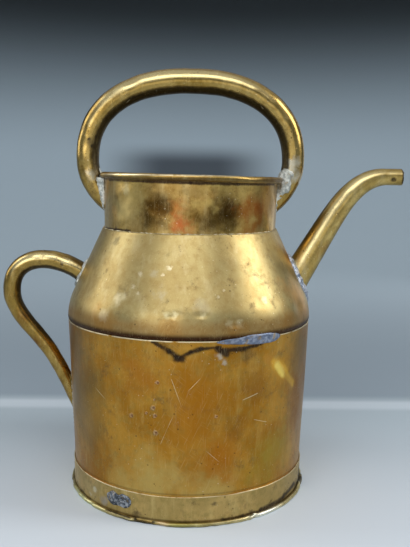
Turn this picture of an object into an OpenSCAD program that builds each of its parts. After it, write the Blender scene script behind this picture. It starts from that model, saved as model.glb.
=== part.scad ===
// Old brass watering can: soldered sheet-brass body, tube handles and tapered spout.
// Millimetres. +Z is up, +X points along the spout, the origin is the centre of the base underside.

/* [Sheet and joints] */
// Thickness of the brass sheet
sheet = 0.9; // [0.6:0.05:1.2]
// Gap that the solder film fills between lapped sheets
lap = 0.1; // [0.05:0.05:0.2]

/* [Body] */
// Outer radius of the body at its top edge
body_top_r = 100; // [80:1:130]
// Outer radius of the body at its bottom edge
body_bottom_r = 95; // [76:1:126]
// Height of the body's top edge
body_h = 140; // [100:1:180]

/* [Foot] */
// Height of the foot band that laps the bottom of the body
foot_h = 23; // [12:1:40]
// How far the folded seam stands out from the foot band
fold_w = 2.9; // [2.4:0.1:5]
// Length of the stretch that has broken out of the folded seam
break_w = 12; // [4:1:30]
// Direction of that break round the foot, from +X
break_angle = -109; // [-180:1:180]

/* [Shoulder] */
// Height from the body's top edge to the shoulder's top edge
shoulder_h = 73; // [50:1:100]
// How far the shoulder bulges past the body's top edge
shoulder_bulge = 0.3; // [0:0.1:2]
// Radius of the rounded turn at the bottom of the shoulder
shoulder_round = 48; // [20:1:55]
// Height of the widest point above the body's top edge
shoulder_lift = 2; // [1:0.5:5]
// Depth of the skirt that goes down inside the body
skirt_h = 8; // [4:1:16]

/* [Neck] */
// Outer radius of the neck collar
neck_r = 70.5; // [50:0.5:90]
// Height of the neck collar above the shoulder, to the centre of the rim bead
neck_h = 41.5; // [20:0.5:80]
// How far the collar reaches down inside the shoulder
neck_depth = 6; // [3:1:12]
// Lean of the collar towards the spout
neck_lean = 1.1; // [0:0.1:2]
// Radius of the iron wire inside the rim bead
wire_r = 1.4; // [1:0.1:2.5]

/* [Top handle] */
// How far the tube's centreline stands out from the collar, at the arch's widest
arch_out = 13.5; // [11:0.5:25]
// Height of the arch's widest point above the rim bead's centre
arch_mid = 13.5; // [5:0.5:30]
// Rise of the arch above its widest point
arch_rise = 63.5; // [45:0.5:90]
// Drop of the curve that brings the legs in to the collar
arch_drop = 56; // [45:0.5:70]
// Squareness of the arch, where 2 is a plain ellipse
arch_square = 2.3; // [2:0.1:3]
// Outer radius of the tube at the widest point
arch_tube_r = 9.3; // [7:0.1:12]
// How much fatter the tube is at the crown
arch_swell = 0.9; // [0:0.1:2]

/* [Rear handle] */
// How far the tube's centreline stands out from the body's radius
grip_reach = 48; // [38:0.5:70]
// Height of the tube's furthest point above the body's top edge
grip_lift = 20; // [10:1:30]
// Height of the tube's upper end above the body's top edge
grip_root_h = 35; // [28:1:42]
// Outer radius of the tube at the shoulder
grip_top_r = 8.2; // [6:0.1:10]
// Outer radius of the tube at its lower end
grip_end_r = 5.6; // [4:0.1:8]

/* [Spout] */
// Height at which the spout's axis enters the shoulder, above the body's top edge
spout_foot_h = 35; // [28:0.5:45]
// How far the mouth's rim stands out from that point
spout_out = 85; // [75:0.5:110]
// How far the mouth's centre stands above that point
spout_rise = 82; // [70:0.5:100]
// Outer radius of the tube at the shoulder
spout_base_r = 11.8; // [11:0.1:15]
// Outer radius of the straight end
spout_end_r = 6.8; // [6:0.1:9]
// Length of the straight end
spout_end_l = 13; // [8:0.5:20]
// Lean of the spout's straight part from upright
spout_lean = 29.9; // [20:0.1:40]
// Radius of the water way cut through the shoulder
spout_hole_r = 9.5; // [5:0.1:10.5]

/* [Solder] */
// Thickness of the solder collar round each tube end
solder_w = 2; // [1:0.1:3]
// Height of the solder collars above the sheet
solder_h = 3; // [1.5:0.1:5]
// Thickness of the repair patches
patch_t = 1.2; // [0.8:0.1:2.5]

/* [Hidden] */
$fn = 96;

brass = [0.72, 0.58, 0.30];
red_brass = [0.66, 0.44, 0.16];
iron = [0.30, 0.28, 0.26];
solder = [0.62, 0.62, 0.60];

// Height of the shoulder's top edge, where the collar enters it
seat_z = body_h + shoulder_h;
// Height of the rim bead's centre
rim_z = seat_z + neck_h;
// Outer radius of the shoulder at its widest and at its top edge
shoulder_max_r = body_top_r + shoulder_bulge;
shoulder_top_r = neck_r + lap + sheet * 1.15;
// Centre of the rounded turn in the shoulder's profile
turn = [shoulder_max_r - shoulder_round, body_h + shoulder_lift];
// Rim bead: outer and inner radius of the rolled sheet, and the radius of its ring
bead_out = wire_r + lap / 2 + sheet;
bead_in = wire_r + lap / 2;
bead_ring_r = neck_r - sheet + bead_out;
// Height above the rim bead in which nothing soldered on may reach over the mouth
mouth_clear = 12;
// The folded seam at the foot: level of the band's flange and of the fold's top
flange_z = sheet + lap;
fold_top = 3 * sheet + 2 * lap;
fold_r = fold_top / 2;
lip_r = body_bottom_r + lap + sheet + fold_w;

/* ---- Profile of the can ---- */

// Points on an arc about c, from angle a to angle b
function arc(c, r, a, b, steps) =
    [for (i = [0:steps]) c + r * [cos(a + (b - a) * i / steps), sin(a + (b - a) * i / steps)]];

// Direction, from the centre of the turn, of the point where the straight cone begins
function cone_angle(inset = 0) =
    let (v = [shoulder_top_r - inset, seat_z] - turn,
         r = shoulder_round - inset)
    atan2(v.y, v.x) - acos(r / norm(v));

// Outline of the shoulder from its widest point to its top edge, moved inwards by inset
function shoulder_outline(inset = 0, steps = 10) =
    concat(
        arc(turn, shoulder_round - inset, 0, cone_angle(inset), steps),
        [[shoulder_top_r - inset, seat_z]]
    );

// Outer radius of the body, and of the shoulder's straight cone, at a height
function body_r(z) = body_bottom_r + (body_top_r - body_bottom_r) * z / body_h;
function cone_r(z) = shoulder_top_r + (seat_z - z) * tan(cone_angle());

// The collar and its wire lean together about the collar's seat
module leaning() {
    translate([0, 0, seat_z])
        rotate([0, neck_lean, 0])
            translate([0, 0, -seat_z])
                children();
}

// Solid of the whole can's outside, grown by g, with its mouth filled to a height above the bead
module can_solid(g, above = 0) {
    rotate_extrude()
        polygon(concat(
            [[0, 0], [body_r(0) + g, 0], [body_top_r + g, body_h]],
            shoulder_outline(-g),
            [[0, seat_z + g]]
        ));
    leaning() {
        translate([0, 0, seat_z - neck_depth])
            cylinder(r = neck_r + g, h = neck_depth + neck_h + above);
        rotate_extrude()
            translate([bead_ring_r, rim_z])
                rotate(15)
                    circle((bead_out + g) / cos(15), $fn = 12);
    }
}

/* ---- Tubes swept along a curve in the XZ plane ---- */

function bezier(p, t) =
    pow(1 - t, 3) * p[0] + 3 * t * pow(1 - t, 2) * p[1] + 3 * t * t * (1 - t) * p[2] + pow(t, 3) * p[3];

function unit(v) = v / norm(v);

// Direction of the curve at point i of a list
function along(path, i) =
    unit(path[min(i + 1, len(path) - 1)] - path[max(i - 1, 0)]);

function ring(p, dir, r, sides) = [
    for (k = [0:sides - 1])
        let (a = 360 * k / sides)
        [p.x - r * cos(a) * dir.y, r * sin(a), p.y + r * cos(a) * dir.x]
];

module sweep(path, radii, sides) {
    last = len(path) - 1;
    points = [for (i = [0:last]) each ring(path[i], along(path, i), radii[i], sides)];
    walls = [
        for (i = [0:last - 1], k = [0:sides - 1])
            let (a = i * sides + k, b = i * sides + (k + 1) % sides)
            each [[a, b, b + sides], [a, b + sides, a + sides]]
    ];
    start_cap = [for (k = [sides - 1:-1:0]) k];
    end_cap = [for (k = [0:sides - 1]) last * sides + k];
    polyhedron(points, concat([start_cap], walls, [end_cap]));
}

function grown(radii, g) = [for (r = radii) r + g];

// Hollow tube that ends on the can's outside
module soldered_tube(path, radii, sides) {
    difference() {
        sweep(path, radii, sides);
        sweep(path, grown(radii, -sheet), sides);
        can_solid(lap, mouth_clear);
    }
}

// Ring of solder where such a tube meets the can
module solder_collar(path, radii, sides) {
    intersection() {
        difference() {
            sweep(path, grown(radii, solder_w), sides);
            sweep(path, grown(radii, lap), sides);
            can_solid(lap, mouth_clear);
        }
        can_solid(lap + solder_h);
    }
}

/* ---- Body ---- */

module body_wall() {
    base = flange_z;
    color(red_brass)
        rotate_extrude()
            polygon([
                [body_r(base) - sheet, base], [body_r(base), base],
                [body_top_r, body_h], [body_top_r - sheet, body_h]
            ]);
}

// Wedge that takes the broken stretch out of the folded seam
module seam_break() {
    rotate(break_angle)
        translate([body_bottom_r + sheet + 2 * lap, -break_w / 2, -1])
            cube([fold_w + 2, break_w, fold_top + 2]);
}

module foot_band() {
    // The flange ends where the fold begins to turn
    flange_r = lip_r - fold_r;
    color(brass)
        difference() {
            rotate_extrude()
                polygon([
                    [body_r(flange_z) + lap, flange_z], [flange_r, flange_z],
                    [flange_r, flange_z + sheet], [body_r(flange_z) + lap + sheet, flange_z + sheet],
                    [body_r(foot_h) + lap + sheet, foot_h], [body_r(foot_h) + lap, foot_h]
                ]);
            seam_break();
        }
}

module base_disc() {
    fold_in = body_r(fold_top) + sheet + 2 * lap;
    bend = [lip_r - fold_r, fold_r];
    color(brass)
        difference() {
            rotate_extrude()
                polygon(concat(
                    [[0, 0]],
                    arc(bend, fold_r, -90, 90, 16),
                    [[fold_in, fold_top], [fold_in, fold_top - sheet]],
                    arc(bend, fold_r - sheet, 90, -90, 16),
                    [[0, sheet]]
                ));
            seam_break();
        }
}

/* ---- Shoulder and neck ---- */

module shoulder() {
    // The skirt follows the inside of the tapered body
    skirt_low = body_r(body_h - skirt_h) - sheet - lap;
    skirt_high = body_top_r - sheet - lap;
    outer = shoulder_outline();
    inner = shoulder_outline(sheet);
    color(brass)
        difference() {
            rotate_extrude()
                polygon(concat(
                    [[skirt_low - sheet, body_h - skirt_h], [skirt_low, body_h - skirt_h]],
                    [[skirt_high, body_h + lap]],
                    outer,
                    [for (i = [len(inner) - 1:-1:0]) inner[i]],
                    [[skirt_high - sheet, body_h + lap]]
                ));
            spout_hole();
        }
}

module neck_collar() {
    curl_end = -118;
    bead = [bead_ring_r, rim_z];
    color(brass)
        leaning()
            rotate_extrude()
                polygon(concat(
                    [[neck_r, seat_z - neck_depth], [neck_r - sheet, seat_z - neck_depth]],
                    arc(bead, bead_out, 180, curl_end, 30),
                    arc(bead, bead_in, curl_end, 180, 30)
                ));
}

module rim_wire() {
    color(iron)
        leaning()
            rotate_extrude()
                translate([bead_ring_r, rim_z])
                    circle(wire_r);
}

module neck_solder() {
    inner = neck_r + lap;
    color(solder)
        rotate_extrude()
            polygon([
                [inner, seat_z + lap], [shoulder_top_r, seat_z + lap], [inner, seat_z + lap + sheet * 1.5]
            ]);
}

/* ---- Top handle ---- */

arch_sides = 20;
arch_step = 5;
// Angle past the widest point at which each leg is well inside the collar
arch_end = 45;

arch_half_w = neck_r + arch_out;

function power(x, e) = sign(x) * pow(abs(x), e);

function arch_point(t) =
    let (e = 2 / arch_square, z = rim_z + arch_mid)
    (t < 0 || t > 180)
        ? [arch_half_w * cos(t), z + arch_drop * sin(t)]
        : [arch_half_w * power(cos(t), e), z + arch_rise * power(sin(t), e)];

arch_angles = [for (t = [-arch_end:arch_step:180 + arch_end]) t];
arch_path = [for (t = arch_angles) arch_point(t)];
arch_radii = [for (t = arch_angles) arch_tube_r + arch_swell * sin(t)];
arch_leg = ceil(len(arch_path) / 4);

module top_handle() {
    color(brass)
        soldered_tube(arch_path, arch_radii, arch_sides);
}

module top_handle_solder_right() {
    color(solder)
        solder_collar(
            [for (i = [0:arch_leg]) arch_path[i]],
            [for (i = [0:arch_leg]) arch_radii[i]],
            arch_sides
        );
}

module top_handle_solder_left() {
    last = len(arch_path) - 1;
    color(solder)
        solder_collar(
            [for (i = [last - arch_leg:last]) arch_path[i]],
            [for (i = [last - arch_leg:last]) arch_radii[i]],
            arch_sides
        );
}

/* ---- Rear handle ---- */

grip_sides = 16;
grip_steps = 12;
grip_x = -(body_top_r + grip_reach);
grip_z = body_h + grip_lift;
grip_root = [-cone_r(body_h + grip_root_h), body_h + grip_root_h];

// Point at a drop below the tube's furthest point, at a distance out from the wall
function off_wall(out, drop) = [-(body_r(grip_z - drop) + out), grip_z - drop];

// Three joined curves: over the top, down the back, and in to the body
grip_curves = [
    [grip_root + [8, -8], grip_root + [-7, 14], [grip_x + 0.5, grip_z + 37], [grip_x, grip_z]],
    [[grip_x, grip_z], [grip_x, grip_z - 17], off_wall(36, 27), off_wall(22, 46)],
    [off_wall(22, 46), off_wall(13, 58), off_wall(1, 85), off_wall(-10, 117)]
];
grip_path = concat(
    [grip_curves[0][0]],
    [for (c = grip_curves, i = [1:grip_steps]) bezier(c, i / grip_steps)]
);
grip_radii = [
    for (i = [0:len(grip_path) - 1])
        grip_top_r + (grip_end_r - grip_top_r) * i / (len(grip_path) - 1)
];

module rear_handle() {
    color(brass)
        soldered_tube(grip_path, grip_radii, grip_sides);
}

module rear_handle_solder_upper() {
    color(solder)
        solder_collar(
            [for (i = [0:grip_steps]) grip_path[i]],
            [for (i = [0:grip_steps]) grip_radii[i]],
            grip_sides
        );
}

module rear_handle_solder_lower() {
    first = 2 * grip_steps;
    last = 3 * grip_steps;
    color(solder)
        solder_collar(
            [for (i = [first:last]) grip_path[i]],
            [for (i = [first:last]) grip_radii[i]],
            grip_sides
        );
}

/* ---- Spout ---- */

spout_sides = 24;
spout_steps = 18;
spout_dir = [sin(spout_lean), cos(spout_lean)];
// Point on the axis where the spout meets the shoulder, and the centre of the mouth
spout_foot = [cone_r(body_h + spout_foot_h), body_h + spout_foot_h];
spout_mouth = spout_foot + [spout_out, spout_rise];
// The straight part starts well inside the shoulder and ends where the bend begins
spout_root = spout_foot - 14 * spout_dir;
spout_bend = spout_foot + 41.5 * spout_dir;
spout_curve = [
    spout_bend, spout_bend + 28 * spout_dir,
    spout_mouth - [36.5, 0], spout_mouth - [spout_end_l, 0]
];
spout_path = concat(
    [for (i = [0:5]) spout_root + (spout_bend - spout_root) * i / 6],
    [for (i = [0:spout_steps]) bezier(spout_curve, i / spout_steps)]
);
// The straight end comes out of the bent tube with a small step
end_step = 0.15;
spout_radii = [
    for (p = spout_path)
        spout_base_r + (spout_end_r + end_step - spout_base_r)
            * (p.x - spout_foot.x) / (spout_out - spout_end_l)
];

// Water way through the shoulder, along the spout's axis
module spout_hole() {
    translate([spout_foot.x, 0, spout_foot.y])
        rotate([0, spout_lean, 0])
            translate([0, 0, -20])
                cylinder(r = spout_hole_r, h = 40);
}

// Straight end, which laps the swept tube a little
module spout_end(r, extra) {
    end_lap = 1;
    translate([spout_mouth.x - spout_end_l - end_lap, 0, spout_mouth.y])
        rotate([0, 90, 0])
            cylinder(r = r, h = spout_end_l + end_lap + extra);
}

module spout() {
    color(brass)
        difference() {
            union() {
                sweep(spout_path, spout_radii, spout_sides);
                spout_end(spout_end_r, 0);
            }
            sweep(spout_path, grown(spout_radii, -sheet), spout_sides);
            spout_end(spout_end_r - sheet, 1);
            can_solid(lap);
        }
}

module spout_solder() {
    color(solder)
        solder_collar(
            [for (i = [0:8]) spout_path[i]],
            [for (i = [0:8]) spout_radii[i]],
            spout_sides
        );
}

/* ---- Repair patches ---- */

// Lens of solder on a wall: half_a degrees and half_z high each way from its centre
module patch(angle, z, half_a, half_z, wall_r) {
    cols = 16;
    rows = 6;
    width = rows + 1;
    edge = 0.25;
    // Round outline: rows get shorter towards the patch's two ends
    function reach(u) = sqrt(max(0, 1 - u * u)) * (1 - edge) + edge;
    function place(i, k, t) =
        let (u = 2 * i / cols - 1, v = 2 * k / rows - 1,
             a = angle + half_a * u, h = z + half_z * v * reach(u),
             r = wall_r + lap + t * (edge + (1 - edge) * (1 - u * u) * (1 - v * v)))
        [r * cos(a), r * sin(a), h];
    points = concat(
        [for (i = [0:cols], k = [0:rows]) place(i, k, patch_t)],
        [for (i = [0:cols], k = [0:rows]) place(i, k, 0)]
    );
    n = (cols + 1) * width;
    skin = [
        for (i = [0:cols - 1], k = [0:rows - 1])
            let (a = i * width + k, b = a + width)
            each [[a, a + 1, b + 1], [a, b + 1, b]]
    ];
    back = [for (f = skin) [f[2] + n, f[1] + n, f[0] + n]];
    // The skin's border, in order, closes on the back
    border = concat(
        [for (i = [0:cols - 1]) i * width],
        [for (k = [0:rows - 1]) cols * width + k],
        [for (i = [cols:-1:1]) i * width + rows],
        [for (k = [rows:-1:1]) k]
    );
    sides = [
        for (j = [0:len(border) - 1])
            let (a = border[j], b = border[(j + 1) % len(border)])
            each [[a, b, b + n], [a, b + n, a + n]]
    ];
    polyhedron(points, concat(skin, back, sides));
}

module seam_repair_solder() {
    color(solder)
        patch(-63, body_h - 0.5, 15, 3.5, shoulder_max_r + lap);
}

module foot_repair_solder() {
    color(solder)
        patch(-122.5, foot_h / 2 + 2, 6.5, 6, body_r(foot_h) + sheet + lap);
}

body_wall();
foot_band();
base_disc();
shoulder();
neck_collar();
rim_wire();
spout();
top_handle();
rear_handle();
neck_solder();
spout_solder();
top_handle_solder_left();
top_handle_solder_right();
rear_handle_solder_upper();
rear_handle_solder_lower();
seam_repair_solder();
foot_repair_solder();
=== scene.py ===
"""Looks of an old brass watering can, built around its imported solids. Metres, +Z up, +X along the spout."""
import math
import random

import bmesh
import bpy
from mathutils import Matrix, Vector, noise


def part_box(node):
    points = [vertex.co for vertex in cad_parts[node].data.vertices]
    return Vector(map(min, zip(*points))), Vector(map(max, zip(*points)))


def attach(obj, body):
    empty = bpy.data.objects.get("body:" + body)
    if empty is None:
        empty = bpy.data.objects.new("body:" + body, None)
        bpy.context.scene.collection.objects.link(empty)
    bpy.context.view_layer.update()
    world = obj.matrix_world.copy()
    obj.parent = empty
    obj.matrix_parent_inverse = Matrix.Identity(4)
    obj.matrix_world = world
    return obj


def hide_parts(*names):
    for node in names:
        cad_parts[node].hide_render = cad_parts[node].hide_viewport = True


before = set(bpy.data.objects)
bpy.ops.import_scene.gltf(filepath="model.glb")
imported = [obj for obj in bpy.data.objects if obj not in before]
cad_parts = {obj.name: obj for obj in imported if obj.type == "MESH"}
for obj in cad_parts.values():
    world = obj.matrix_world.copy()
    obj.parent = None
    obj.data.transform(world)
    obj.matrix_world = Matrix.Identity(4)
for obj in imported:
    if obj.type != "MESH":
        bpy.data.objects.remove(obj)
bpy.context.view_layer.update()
scene = bpy.context.scene

# ---------------------------------------------------------------- sizes, from the frame

MM = 0.001
SHEET = 0.9 * MM
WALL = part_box("body_wall")
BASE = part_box("base_disc")
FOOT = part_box("foot_band")
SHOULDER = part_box("shoulder")
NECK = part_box("neck_collar")
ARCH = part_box("top_handle")
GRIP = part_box("rear_handle")
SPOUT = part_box("spout")

FILM = 0.1 * MM          # solder film in the lapped seams
BEAD_R = 2.35 * MM       # bead at the mouth, curled over its wire
LIP = 3.9 * MM           # how far the base's fold stands out from the body
FOLD_Z = 1.45 * MM       # middle of that fold
TURN_R = 48 * MM         # rounded turn at the shoulder's bottom
TURN_RISE = 2 * MM       # its centre, above the body's top edge
CONE_RUN = 0.489         # how much the shoulder widens for each unit down
ROOT_RISE = 35           # spout and rear handle leave the shoulder this far above the body, in mm
body_top_r = WALL[1].x
body_bottom_r = BASE[1].x - LIP
body_h = WALL[1].z
foot_h = FOOT[1].z
seat_z = SHOULDER[1].z
shoulder_r = SHOULDER[1].y
neck_r = NECK[1].y + SHEET - 2 * BEAD_R
neck_lean = math.radians(1.1)
rim_z = NECK[1].z - BEAD_R - neck_r * math.sin(neck_lean)


def body_r(z):
    """Outer radius of the tapered body at a height."""
    return body_bottom_r + (body_top_r - body_bottom_r) * z / body_h


# ---------------------------------------------------------------- modelling helpers

def only(piece):
    """Leave just this piece selected and active."""
    bpy.ops.object.select_all(action="DESELECT")
    piece.select_set(True)
    bpy.context.view_layer.objects.active = piece


def edit(piece, select="SELECT"):
    only(piece)
    bpy.ops.object.mode_set(mode="EDIT")
    bpy.ops.mesh.select_all(action=select)


def done():
    bpy.ops.object.mode_set(mode="OBJECT")


def bmesh_of(piece):
    """The mesh of the piece that is in edit mode."""
    return bmesh.from_edit_mesh(piece.data)


def outwards(piece, centre=None):
    """Merge doubles and turn the faces outwards, judged from the Z axis or from the nearest centre."""
    edit(piece)
    bpy.ops.mesh.remove_doubles(threshold=0.01 * MM)
    bpy.ops.mesh.normals_make_consistent(inside=False)
    done()
    lean = 0.0
    for face in piece.data.polygons:
        core = centre(face.center) if centre else Vector((0, 0, face.center.z))
        lean += face.normal.dot(face.center - core) * face.area
    if lean < 0:
        edit(piece)
        bpy.ops.mesh.flip_normals()
        done()


def modify(piece, kind, **settings):
    """Add a modifier with these settings and apply it."""
    only(piece)
    modifier = piece.modifiers.new(kind.title(), kind)
    for key, value in settings.items():
        setattr(modifier, key, value)
    bpy.ops.object.modifier_apply(modifier=modifier.name)


def beat(piece, push):
    """Move every point along its normal by push(place)."""
    mesh = piece.data
    moves = [v.normal * push(v.co) for v in mesh.vertices]
    for v, move in zip(mesh.vertices, moves):
        v.co += move
    mesh.update()


def lathe(name, outline, steps):
    """Draw an outline in the XZ plane by extruding a point, then spin it round Z."""
    bpy.ops.object.select_all(action="DESELECT")
    bpy.ops.mesh.primitive_plane_add(size=1 * MM)
    piece = bpy.context.object
    piece.name = name
    edit(piece)
    bpy.ops.mesh.merge(type="CENTER")
    bpy.ops.transform.translate(value=(outline[0][0], 0, outline[0][1]))
    for a, b in zip(outline, outline[1:]):
        bpy.ops.mesh.extrude_region_move(TRANSFORM_OT_translate={"value": (b[0] - a[0], 0, b[1] - a[1])})
    bpy.ops.mesh.select_all(action="SELECT")
    bpy.ops.mesh.spin(steps=steps, angle=math.tau, center=(0, 0, 0), axis=(0, 0, 1))
    done()
    outwards(piece)
    return piece


def straight(a, b, parts):
    """Points from a towards b, leaving b out."""
    return [(a[0] + (b[0] - a[0]) * i / parts, a[1] + (b[1] - a[1]) * i / parts) for i in range(parts)]


def arc(centre, radius, start, end, parts):
    """Points on an arc in the XZ plane, angles in degrees."""
    angles = [math.radians(start + (end - start) * i / parts) for i in range(parts + 1)]
    return [(centre[0] + radius * math.cos(a), centre[1] + radius * math.sin(a)) for a in angles]


def sheet_metal(piece, even=True):
    """Give a mid-surface its wall, soften the cut edges and shade it."""
    modify(piece, "SOLIDIFY", thickness=SHEET, offset=0, use_even_offset=even)
    sharp = math.radians(60)
    modify(piece, "BEVEL", width=0.22 * MM, segments=2, limit_method="ANGLE", angle_limit=sharp)
    only(piece)
    bpy.ops.object.shade_smooth_by_angle(angle=math.radians(50))


def on_wall(turn, height):
    """Point on the can's outside, from a direction in degrees and a height in mm."""
    r, a = can_r(height * MM), math.radians(turn)
    return Vector((r * math.sin(a), -r * math.cos(a), height * MM))


def spot_at(where):
    """A place given in mm, as direction and height on the can's outside or as x, y, z."""
    return on_wall(*where) if len(where) == 2 else Vector(where) * MM


def chain(start, end, most):
    """Straight steps from start to end, each turning at most so many degrees, so a line keeps to the wall."""
    if len(start) == 3:
        return [(spot_at(start), spot_at(end))]
    parts = max(1, math.ceil(abs(end[0] - start[0]) / most))
    points = [on_wall(*(a + (b - a) * i / parts for a, b in zip(start, end))) for i in range(parts + 1)]
    return list(zip(points, points[1:]))


def turn_of(place):
    """Direction of a place round the can in degrees: 0 at the front, 90 at the spout."""
    return math.degrees(math.atan2(place.x, -place.y))


def dents(places, radius):
    """Push for beat(): hollows at (direction, height, width, tallness, tilt, depth), in degrees and mm."""
    def push(place):
        here = turn_of(place)
        total = 0.0
        for direction, height, wide, tall, tilt, depth in places:
            around = (here - direction + 180) % 360 - 180
            u = math.radians(around) * radius / MM
            v = place.z / MM - height
            c, s = math.cos(math.radians(tilt)), math.sin(math.radians(tilt))
            q = ((u * c + v * s) / wide) ** 2 + ((v * c - u * s) / tall) ** 2
            if q < 1:
                total -= depth * MM * (1 - q) ** 2
        return total
    return push


def uneven(place, size, amount):
    """Soft unevenness of hand-worked sheet."""
    return noise.noise(place / (size * MM)) * amount * MM


def keep(piece, node, finish):
    """Hand a finished piece to the frame in place of its CAD node."""
    piece.name = node + "_look"
    piece.data.materials.clear()
    piece.data.materials.append(finish)
    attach(piece, "root")
    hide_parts(node)
    return piece


# ---------------------------------------------------------------- routes of the tubes

def bezier(a, b, c, d, t):
    return a * (1 - t) ** 3 + b * 3 * t * (1 - t) ** 2 + c * 3 * t * t * (1 - t) + d * t ** 3


def cone_r(z):
    """Outer radius of the shoulder's straight cone at a height."""
    return neck_r + 1.1 * MM + (seat_z - z) * CONE_RUN


def place(x, z):
    """A point in the plane of the handles and spout, from millimetres."""
    return Vector((x * MM, 0, z * MM))


def arch_route(parts=120):
    """Centreline and radii of the arched handle, from the spout's side over to the other."""
    half = neck_r + 13.5 * MM
    middle = rim_z + 13.5 * MM
    crown_r = 10.2 * MM
    rise = ARCH[1].z - crown_r - middle
    route, radii = [], []
    for i in range(parts + 1):
        t = math.radians(-45 + 270 * i / parts)
        c, s = math.cos(t), math.sin(t)
        if s < 0:
            x, z = half * c, middle + 56 * MM * s
        else:
            x, z = half * math.copysign(abs(c) ** 0.87, c), middle + rise * s ** 0.87
        route.append(Vector((x, 0, z)))
        radii.append(9.3 * MM + 0.9 * MM * s)
    return route, radii


def grip_route(parts=40):
    """Centreline and radii of the rear handle, from the shoulder down to the body."""
    far = GRIP[0].x / MM + 7.3
    low = body_h / MM + 20
    root = place(-cone_r(body_h + ROOT_RISE * MM) / MM, body_h / MM + ROOT_RISE)

    def off_wall(out, drop):
        return place(-(body_r((low - drop) * MM) / MM + out), low - drop)

    curves = [
        (root + place(8, -8), root + place(-7, 14), place(far + 0.5, low + 37), place(far, low)),
        (place(far, low), place(far, low - 17), off_wall(36, 27), off_wall(22, 46)),
        (off_wall(22, 46), off_wall(13, 58), off_wall(1, 85), off_wall(-10, 117)),
    ]
    route = [bezier(*curve, i / parts) for curve in curves for i in range(parts)]
    last = len(route) - 1
    return route, [(8.2 - 2.6 * i / last) * MM for i in range(last + 1)]


def spout_route(parts=60):
    """Centreline and radii of the spout, from inside the shoulder out to the mouth."""
    lean = math.radians(29.9)
    up = Vector((math.sin(lean), 0, math.cos(lean)))
    foot = Vector((cone_r(body_h + ROOT_RISE * MM), 0, body_h + ROOT_RISE * MM))
    mouth = Vector((SPOUT[1].x, 0, foot.z + 82 * MM))
    bend = foot + up * 41.5 * MM
    curve = (bend, bend + up * 28 * MM, mouth - place(36.5, 0), mouth - place(13, 0))
    route = [foot + (bend - foot) * (i / 20 * 1.34 - 0.34) for i in range(20)]
    route += [bezier(*curve, i / parts) for i in range(parts)]
    route += [mouth - place(13 - 13 * i / 8, 0) for i in range(9)]
    length = mouth.x - place(13, 0).x - foot.x
    return route, [(11.8 - 5.0 * min(1, (p.x - foot.x) / length)) * MM for p in route]


def can_r(z):
    """Outer radius of the whole can at a height."""
    if z < body_h:
        return body_r(z)
    if z < body_h + 22 * MM:
        lift = (z - body_h - TURN_RISE) / TURN_R
        return shoulder_r - TURN_R * (1 - math.sqrt(max(0, 1 - lift * lift)))
    return cone_r(z) if z < seat_z else neck_r


# ---------------------------------------------------------------- tubes and solder

def nearest(route, point):
    """Index of the route's point nearest to a place."""
    return min(range(len(route)), key=lambda i: (route[i] - point).length_squared)


def tube(name, route, radii, facets=12):
    """Sweep a round tube along a route with a curve's bevel, and make it a mesh."""
    bpy.ops.object.select_all(action="DESELECT")
    bpy.ops.curve.primitive_nurbs_path_add()
    piece = bpy.context.object
    piece.name = name
    line = piece.data
    line.splines.clear()
    spline = line.splines.new("POLY")
    spline.points.add(len(route) - 1)
    for point, at, radius in zip(spline.points, route, radii):
        point.co = (*at, 1)
        point.radius = radius / MM
    line.bevel_depth = MM
    line.bevel_resolution = facets
    line.use_fill_caps = False
    only(piece)
    bpy.ops.object.convert(target="MESH")
    piece = bpy.context.object
    outwards(piece, lambda p: route[nearest(route, p)])
    return piece


def can_form():
    """Closed form of the can's outside, which mitres the tubes that are soldered on."""
    low, above = 5 * MM, rim_z + 12 * MM
    collar = neck_r + FILM
    outline = [(0, low), (body_r(low) + FILM, low), (body_top_r + FILM, body_h)]
    for step in range(1, 36):
        z = body_h + step * 2 * MM
        outline.append((can_r(z) + FILM, z))
    outline += [(cone_r(seat_z), seat_z), (collar, seat_z + 1 * MM), (collar, rim_z - BEAD_R)]
    outline += arc((neck_r - SHEET + BEAD_R, rim_z), BEAD_R + FILM, -80, 80, 8)
    outline += [(collar, rim_z + BEAD_R), (collar, above), (0, above)]
    return lathe("can_form", outline, 180)


def mitre(piece, form):
    """Cut a tube off where it enters the can."""
    modify(piece, "BOOLEAN", object=form, operation="DIFFERENCE", solver="EXACT")


def joint_line(route, radii, count, from_end=False):
    """Points where the tube's surface enters the can, one for each direction round the tube."""
    order = list(range(len(route)))
    if not from_end:
        order.reverse()
    points = []
    for k in range(count):
        a = math.tau * k / count
        found = None
        for n, i in enumerate(order[1:-1], 1):
            along = (route[order[n + 1]] - route[order[n - 1]]).normalized()
            side = Vector((-along.z, 0, along.x))
            p = route[i] + (side * math.cos(a) + Vector((0, 1, 0)) * math.sin(a)) * radii[i]
            if math.hypot(p.x, p.y) < can_r(p.z) and p.z < rim_z + BEAD_R:
                found = p
                break
        if found:
            points.append(found)
    return points


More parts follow.
